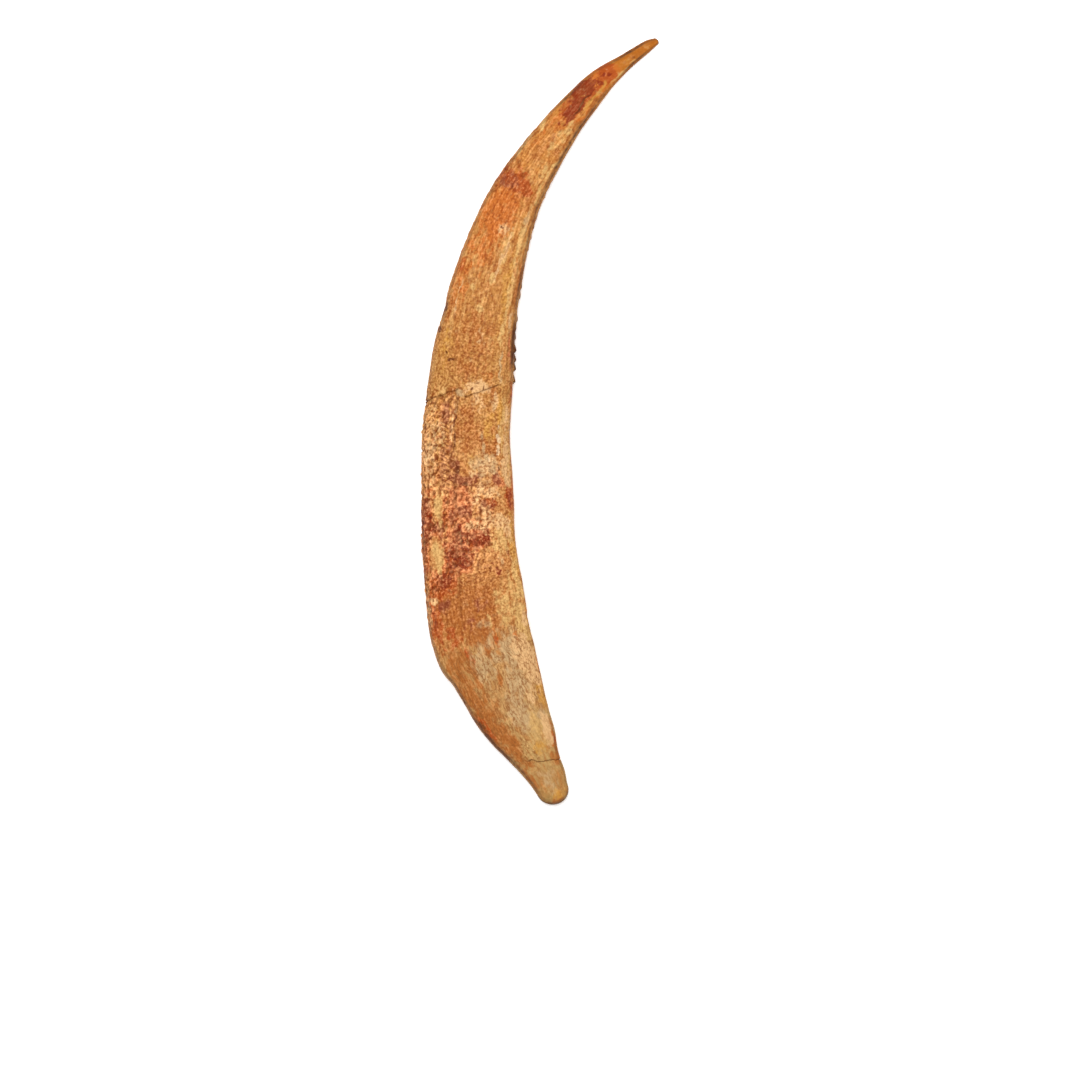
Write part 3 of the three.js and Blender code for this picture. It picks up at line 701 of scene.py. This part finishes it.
def stained_hooks():
    """The dark stain on the upper side of the margin at the best kept denticles."""
    upper = smooth(-0.3, 0.1, local[..., 1] / half_thickness)
    at_margin = 1 - smooth(0.6, 1.6, (1 - share) * half_width)
    mottled = 1.15 + 0.6 * field(own, 1.2, 7.4)
    return between(*STAINED_HOOKS_STRETCH, distance) * upper * (at_margin * mottled)


def dark_lines():
    """The dirt in the breaks, a darker seam, a dark line behind the shoulder and the stain at the denticles.
    """
    behind_shoulder = 0.35 * ornament * smooth(*SHOULDER_LINES_RISE, distance)
    behind_shoulder = behind_shoulder * peak(around - shoulder_at - 0.035, 0.02)
    return np.maximum.reduce([crack, break_stain(), 0.7 * ornament * seam, behind_shoulder, stained_hooks()])


def crest_highlights():
    """Painted highlights on the tops of the nodules, the ribs, the seam's ridge and the shoulder."""
    coarse_tops = 1.4 * rough * coarser * coarse_nodules
    fine_tops = ornament * (0.1 * fine_nodules + 0.2 * np.clip(rib, 0, 1))
    shoulder_top = 0.5 * ornament * smooth(*SHOULDER_LINES_RISE, distance) * np.clip(shoulder, 0, 1)
    return np.clip(np.maximum.reduce([coarse_tops, fine_tops, 0.7 * seam_ridge, shoulder_top]), 0, 1)


def unworn():
    """How much of the grain is left: less at the tip and at the root's end, and further along it behind."""
    in_front = smooth(*ROOT_END_WEAR_FADES, distance) * (1 - smooth(0, 0.4, share))
    worn_root = 1 - np.maximum(in_front, smooth(*ROOT_WEAR_FADES, distance))
    return (1 - 0.6 * worn_root) * (1 - 0.6 * smooth(*WORN_TIP_RISE, distance))


def ladder():
    """Where the slanting rungs are, in front of the coarse band's back edge."""
    length = smooth(*LADDER_RISE, distance) * (1 - 0.3 * smooth(*LADDER_FADES, distance)) * coarse_length
    return length * np.clip(1.4 * peak(around - COARSE_EDGE + 0.07, 0.06), 0, 1)


def margin_dirt_and_shade(table, inward):
    """The dirt and painted shade along one margin, at each point's distance inward from it; the very margin
    has less of it.
    """
    strength = np.interp(distance, table[:, 0], table[:, 1])
    reach = np.interp(distance, table[:, 0], table[:, 2])
    return strength * (1 - smooth(0.35 * reach, reach, inward)) * (0.35 + 0.65 * smooth(0.15, 0.75, inward))


def edge_dirt_and_shade():
    """The dark rims, dirt and painted shade: how dark each place near the two margins is, seen from above."""
    leading = margin_dirt_and_shade(LEADING_DIRT_AND_SHADE, (1 + share) * half_width)
    trailing = margin_dirt_and_shade(TRAILING_DIRT_AND_SHADE, (1 - share) * half_width)
    return np.maximum(leading, trailing) * (0.9 + 0.4 * field(own, 1.6, 6.2) + 0.4 * field(own, 0.8, 2.6))


def end_dirt_and_shade():
    """The dark rims round the domes at the two ends, dirt and painted shade that is darker low down, which
    fade out a little way along the spine.
    """
    low_down = 1 - smooth(0.3, 0.75, np.abs(grain[:, 2]) / spread_to_domes(half_thickness))
    at_root = 1 - smooth(-2.5, 3, grain[:, 0])
    at_tip = smooth(SPINE_LENGTH - 1.5, SPINE_LENGTH + 0.3, grain[:, 0])
    return low_down * np.maximum(at_root, at_tip) * (0.85 + 0.5 * field(grain, 1.2, 6.2))


grain_attribute = mesh.attributes.new("grain", "FLOAT_VECTOR", "POINT")
grain_attribute.data.foreach_set("vector", grain.astype(np.float32).ravel())
for name, ovals in STAINS.items():
    store(name, stain_depth(ovals))

# What else the material reads, each from 0 to about 1.
surface_zones = {
    # The pits' darkening is painted shade.
    "pit_shade": np.maximum(rough * coarse_pits, 0.6 * ornament * fine_pits),
    # Painted highlights on the crests.
    "crest": crest_highlights(),
    "crack": dark_lines(),
    "tooth": smooth(0.05, 0.55, hooks + (hooks > 0) * 0.5 * field(own, 0.9, 2.7)),
    "ladder": ladder(),
    "rough": rough,
    "fibrous": fibrous,
    "lined": ornament * smooth(*PALE_LINES_RISE, distance) * (1 - 0.7 * smooth(*PALE_LINES_FADE, distance)),
    "bare": 1 - crown,
    "unworn": unworn(),
}
for name, values in surface_zones.items():
    store(name, spread_to_domes(values))
# The rims' darkening is dirt and painted shade.
store("rim_dirt_and_shade", np.maximum(spread_to_domes(edge_dirt_and_shade()), end_dirt_and_shade()))

# ---------------------------------------------------------------- the material

LUMP_SIZE = 1.5  # in mm, as are the next three
GRIT_SIZE = 0.7
BUMP_HEIGHT = 0.16
LADDER_SPACING = 1.3
LADDER_SLANT = 0.45

# The ground's colour at distances along the spine.
GROUND = [
    (-5, (166, 130, 74)),
    (6, (182, 144, 88)),
    (14, (190, 150, 92)),
    (30, (184, 142, 88)),
    (50, (186, 136, 78)),
    (55, (182, 120, 62)),
    (69, (188, 124, 64)),
    (76, (200, 136, 76)),
    (95, (200, 138, 78)),
    (130, (186, 130, 66)),
    (165, (192, 130, 66)),
    (190, (202, 136, 68)),
    (226, (204, 132, 58)),
    (238, (190, 114, 38)),
    (252, (179, 102, 27)),
]
DEEPER = (178, 106, 44)
PALE = (242, 196, 126)
# Added for the pale grains and for the painted highlights on the crests.
PALE_GRAIN_AND_HIGHLIGHT = (160, 120, 84)  # added to the colour below
DARK_GRAIN = (204, 150, 106)  # multiplied with the colour below
WRINKLE = (140, 84, 38)
RUNG = (110, 50, 18)
# The marks that go with the relief and the margins: how much each covers at most, and its colour.
MARKS = {
    # The pits' darkening is painted shade.
    "pit_shade": (0.9, (110, 50, 14)),
    # The rims' darkening is dirt and painted shade.
    "rim_dirt_and_shade": (0.9, (88, 60, 42)),
    "tooth": (0.85, (66, 32, 12)),
    "crack": (0.75, (84, 38, 6)),
}
STAIN_COVERS = 0.92
# Each stain's colour, how soft its borders are and how large the flecks that break it up, in mm.
STAIN_COLOURS = {
    "orange": ((198, 106, 38), 0.3, 1.7),
    "brown": ((172, 100, 42), 0.3, 1.7),
    "rust": ((174, 78, 26), 0.2, 1.4),
    "salmon": ((208, 122, 74), 0.25, 1.3),
    "wine": ((138, 46, 14), 0.15, 1.1),
    "mauve": ((146, 74, 46), 0.25, 1.4),
    "gold": ((202, 144, 64), 0.3, 1.7),
    "grey": ((194, 160, 114), 0.35, 1.7),
    "straw": ((214, 170, 104), 0.25, 1.7),
    "cream": ((222, 176, 122), 0.2, 1.4),
    "umber": ((102, 48, 14), 0.2, 1.4),
    "chalk": ((228, 194, 150), 0.2, 1.7),
}
# The colours are given as they look under the studio's bright light, and the bone reflects this share of it.
BONE_ALBEDO = 0.84


def linear(rgb):
    """The linear RGBA of a colour given in the usual 0 to 255."""
    return (*(BONE_ALBEDO * ((c / 255 + 0.055) / 1.055) ** 2.4 for c in rgb), 1)


def new_node(tree, kind, inputs=(), **settings):
    """A node with its settings; each input is a value, or the socket that feeds it."""
    made = tree.nodes.new(kind)
    for name, value in settings.items():
        setattr(made, name, value)
    for name, value in dict(inputs).items():
        if isinstance(value, bpy.types.NodeSocket):
            tree.links.new(value, made.inputs[name])
        else:
            made.inputs[name].default_value = value
    return made


def stored(tree, name):
    """The number that store() kept under this name."""
    return new_node(tree, "ShaderNodeAttribute", attribute_name=name).outputs["Fac"]


def noise_at(tree, vector, size, detail=2.0, seed=0.0):
    """Noise about 0.5 with lumps of the given size in mm; another seed gives another pattern."""
    inputs = {"Vector": vector, "W": seed, "Scale": 1 / size, "Detail": detail, "Roughness": 0.6}
    return new_node(tree, "ShaderNodeTexNoise", inputs, noise_dimensions="4D").outputs["Fac"]


def arithmetic(tree, operation, *values):
    return new_node(tree, "ShaderNodeMath", enumerate(values), operation=operation).outputs[0]


def step_between(tree, value, low, high):
    """0 at low, 1 at high and smooth between them, whichever of the two is the larger."""
    inputs = {"Value": value, "From Min": low, "From Max": high}
    return new_node(tree, "ShaderNodeMapRange", inputs, interpolation_type="SMOOTHSTEP").outputs["Result"]


def blended(tree, factor, a, b):
    """From number a to number b."""
    return new_node(tree, "ShaderNodeMix", {0: factor, 2: a, 3: b}).outputs[0]


def mixed(tree, factor, a, b, blend_type="MIX"):
    """Colour b over colour a, where each is an RGB from 0 to 255 or a socket."""
    a, b = (linear(c) if isinstance(c, tuple) else c for c in (a, b))
    inputs = {0: factor, 6: a, 7: b}
    return new_node(tree, "ShaderNodeMix", inputs, data_type="RGBA", blend_type=blend_type).outputs[2]


def stretched(tree, vector, factor):
    """The grain's coordinates with distances along the spine shortened, for streaks."""
    inputs = {0: vector, 1: (1 / factor, 1, 1)}
    return new_node(tree, "ShaderNodeVectorMath", inputs, operation="MULTIPLY").outputs[0]


def scaled(tree, value, factor):
    return arithmetic(tree, "MULTIPLY", value, factor)


def cover(tree, values, low, high, most):
    """How much of a colour shows over noise: none of it up to low, and most of it from high on."""
    return scaled(tree, step_between(tree, values, low, high), most)


def ground(tree, grain_at):
    """The ground's colour, which changes along the spine, with broad clouds, streaks and pale patches."""
    along = new_node(tree, "ShaderNodeSeparateXYZ", {0: grain_at}).outputs["X"]
    first, last = GROUND[0][0], GROUND[-1][0]
    place = new_node(tree, "ShaderNodeMapRange", {"Value": along, "From Min": first, "From Max": last})
    ramp = new_node(tree, "ShaderNodeValToRGB", {0: place.outputs["Result"]})
    stops = ramp.color_ramp.elements
    while len(stops) < len(GROUND):
        stops.new(0.5)
    for stop, (at, rgb) in zip(stops, GROUND):
        stop.position = (at - first) / (last - first)
        stop.color = linear(rgb)
    clouds = noise_at(tree, grain_at, 9, 3)
    colour = mixed(tree, cover(tree, clouds, 0.48, 0.68, 0.45), ramp.outputs["Color"], DEEPER)
    streaks = noise_at(tree, stretched(tree, grain_at, 6), 1.3, 3)
    colour = mixed(tree, cover(tree, streaks, 0.5, 0.68, 0.55), colour, DEEPER)
    lines = noise_at(tree, stretched(tree, grain_at, 14), 1.3, 2, 24)
    lines = arithmetic(tree, "MULTIPLY", step_between(tree, lines, 0.52, 0.66), stored(tree, "lined"))
    colour = mixed(tree, scaled(tree, lines, 0.35), colour, PALE)
    patches = noise_at(tree, grain_at, 3.2, 3)
    return mixed(tree, cover(tree, patches, 0.52, 0.7, 0.28), colour, PALE)


def stained(tree, grain_at, colour):
    """The stains over the ground, with ragged borders and with holes where a stain is broken."""
    for seed, (name, (rgb, softness, fleck_size)) in enumerate(STAIN_COLOURS.items()):
        flecks = noise_at(tree, stretched(tree, grain_at, 1.5), fleck_size, 4, seed + 1)
        depth = arithmetic(tree, "MULTIPLY_ADD", flecks, 2, stored(tree, name))
        depth = step_between(tree, depth, 1.5 - softness, 1.5 + softness)
        colour = mixed(tree, scaled(tree, depth, STAIN_COVERS), colour, rgb)
    return colour


def speckled(tree, grain_at, lumps, grit, colour):
    """Dark and pale grains: round ones on the ornament's lower half, and fibres along the spine elsewhere."""
    fibres = noise_at(tree, stretched(tree, grain_at, 5), GRIT_SIZE, 2)
    round_grains = arithmetic(tree, "MULTIPLY_ADD", lumps, 0.5, scaled(tree, grit, 0.5))
    thin_grains = arithmetic(tree, "MULTIPLY_ADD", fibres, 0.6, scaled(tree, grit, 0.4))
    grains = blended(tree, stored(tree, "rough"), grit, round_grains)
    grains = blended(tree, stored(tree, "fibrous"), grains, thin_grains)
    strength = arithmetic(tree, "MULTIPLY_ADD", stored(tree, "rough"), 0.9, 0.4)
    strength = arithmetic(tree, "MULTIPLY", strength, stored(tree, "unworn"))
    dark_grains = arithmetic(tree, "MULTIPLY", step_between(tree, grains, 0.5, 0.38), strength)
    pale_grains = arithmetic(tree, "MULTIPLY", step_between(tree, grains, 0.5, 0.62), strength)
    colour = mixed(tree, dark_grains, colour, DARK_GRAIN, "MULTIPLY")
    return mixed(tree, pale_grains, colour, PALE_GRAIN_AND_HIGHLIGHT, "ADD")


def wrinkled(tree, grain_at, colour):
    """Fine wavy lines and freckles on the bare root."""
    bare = arithmetic(tree, "MULTIPLY", stored(tree, "bare"), stored(tree, "unworn"))
    waves = noise_at(tree, stretched(tree, grain_at, 3), 2.0, 2, 20)
    off_line = arithmetic(tree, "ABSOLUTE", arithmetic(tree, "SUBTRACT", waves, 0.5))
    freckles = noise_at(tree, stretched(tree, grain_at, 2.5), GRIT_SIZE, 2, 21)
    freckles = step_between(tree, freckles, 0.53, 0.65)
    marks = arithmetic(tree, "MAXIMUM", step_between(tree, off_line, 0.03, 0.0), freckles)
    marks = scaled(tree, arithmetic(tree, "MULTIPLY", marks, bare), 0.75)
    return mixed(tree, marks, colour, WRINKLE)


def laddered(tree, grain_at, colour):
    """Slanting dark rungs, one after another, along the coarse band's back edge."""
    own_place = new_node(tree, "ShaderNodeSeparateXYZ", {0: grain_at}).outputs
    slanted = arithmetic(tree, "MULTIPLY_ADD", own_place["Y"], LADDER_SLANT, own_place["X"])
    slanted = arithmetic(tree, "MULTIPLY_ADD", noise_at(tree, grain_at, 2.2, 2, 22), 1.6, slanted)
    rungs = arithmetic(tree, "SINE", scaled(tree, slanted, 2 * math.pi / LADDER_SPACING))
    broken = arithmetic(tree, "MULTIPLY_ADD", noise_at(tree, grain_at, 1.8, 2, 23), 2.4, rungs)
    depth = arithmetic(tree, "MULTIPLY", step_between(tree, broken, 1.3, 2.1), stored(tree, "ladder"))
    return mixed(tree, scaled(tree, depth, 0.8), colour, RUNG)


def marked(tree, colour):
    """The painted highlights on the crests, then the dark marks one over another."""
    colour = mixed(tree, stored(tree, "crest"), colour, PALE_GRAIN_AND_HIGHLIGHT, "ADD")
    for name, (most, rgb) in MARKS.items():
        colour = mixed(tree, scaled(tree, stored(tree, name), most), colour, rgb)
    return colour


def fossil_bone():
    """Dull bone with all its colours, and a bump as fine as its grain."""
    material = bpy.data.materials.new("fossil_bone")
    material.use_nodes = True
    tree = material.node_tree
    grain_at = new_node(tree, "ShaderNodeAttribute", attribute_name="grain").outputs["Vector"]
    lumps = noise_at(tree, grain_at, LUMP_SIZE, 2)
    grit = noise_at(tree, grain_at, GRIT_SIZE, 1)
    colour = ground(tree, grain_at)
    colour = stained(tree, grain_at, colour)
    colour = speckled(tree, grain_at, lumps, grit, colour)
    colour = wrinkled(tree, grain_at, colour)
    colour = laddered(tree, grain_at, colour)
    colour = marked(tree, colour)

    height = arithmetic(tree, "MULTIPLY_ADD", grit, 0.6, lumps)
    bump = new_node(tree, "ShaderNodeBump", {"Strength": 0.7, "Distance": BUMP_HEIGHT * MM, "Height": height})
    roughness = arithmetic(tree, "MULTIPLY_ADD", step_between(tree, lumps, 0.2, 0.8), 0.25, 0.55)
    shader = tree.nodes["Principled BSDF"]
    shader.inputs["Specular IOR Level"].default_value = 0.08
    tree.links.new(colour, shader.inputs["Base Color"])
    tree.links.new(roughness, shader.inputs["Roughness"])
    tree.links.new(bump.outputs["Normal"], shader.inputs["Normal"])
    return material


mesh.materials.append(fossil_bone())

# ---------------------------------------------------------------- studio

# Places and sizes are in metres, the lens and its sensor in millimetres and the light's power in watts.
FLOOR_REACH = 3
VIEW_MIDDLE = (-0.00004, -0.03715)
VIEW_WIDTH = 0.3375
VIEW_HEIGHT = 0.0045  # where the view is that wide: half-way up the spine
CAMERA_LENS = 300
CAMERA_SENSOR = 36
KEY_PLACE = (-0.1, 0.2, 1.6)
KEY_SIZE = 0.8
KEY_POWER = 30
SKY_STRENGTH = 0.35
PAPER_GLOW = 0.25


def paper():
    """White paper without gloss, which glows a little, so that it stays white under the spine."""
    material = bpy.data.materials.new("white_paper")
    material.use_nodes = True
    shader = material.node_tree.nodes["Principled BSDF"]
    shader.inputs["Base Color"].default_value = (0.95, 0.95, 0.95, 1)
    shader.inputs["Roughness"].default_value = 1.0
    shader.inputs["Specular IOR Level"].default_value = 0.0
    shader.inputs["Emission Color"].default_value = (1, 1, 1, 1)
    shader.inputs["Emission Strength"].default_value = PAPER_GLOW
    return material


floor_mesh = bpy.data.meshes.new("floor")
corners = [(x * FLOOR_REACH, y * FLOOR_REACH, 0) for x, y in ((-1, -1), (1, -1), (1, 1), (-1, 1))]
floor_mesh.from_pydata(corners, [], [(0, 1, 2, 3)])
floor_mesh.materials.append(paper())
floor = bpy.data.objects.new("floor", floor_mesh)
bpy.context.scene.collection.objects.link(floor)

camera = bpy.data.cameras.new("camera")
camera.lens = CAMERA_LENS
camera.sensor_width = CAMERA_SENSOR
eye = bpy.data.objects.new("camera", camera)
eye.location = (*VIEW_MIDDLE, VIEW_WIDTH * CAMERA_LENS / CAMERA_SENSOR + VIEW_HEIGHT)
bpy.context.scene.collection.objects.link(eye)
bpy.context.scene.camera = eye


def area_light(name, location, size, power):
    """A square light that points at the origin."""
    data = bpy.data.lights.new(name, "AREA")
    data.size = size
    data.energy = power
    lamp = bpy.data.objects.new(name, data)
    lamp.location = location
    lamp.rotation_euler = (Vector((0, 0, 0)) - Vector(location)).to_track_quat("-Z", "Y").to_euler()
    bpy.context.scene.collection.objects.link(lamp)


area_light("key", KEY_PLACE, KEY_SIZE, KEY_POWER)
world = bpy.data.worlds.new("studio")
world.use_nodes = True
world.node_tree.nodes["Background"].inputs["Color"].default_value = (1, 1, 1, 1)
world.node_tree.nodes["Background"].inputs["Strength"].default_value = SKY_STRENGTH
bpy.context.scene.world = world
bpy.context.scene.view_settings.view_transform = "Standard"
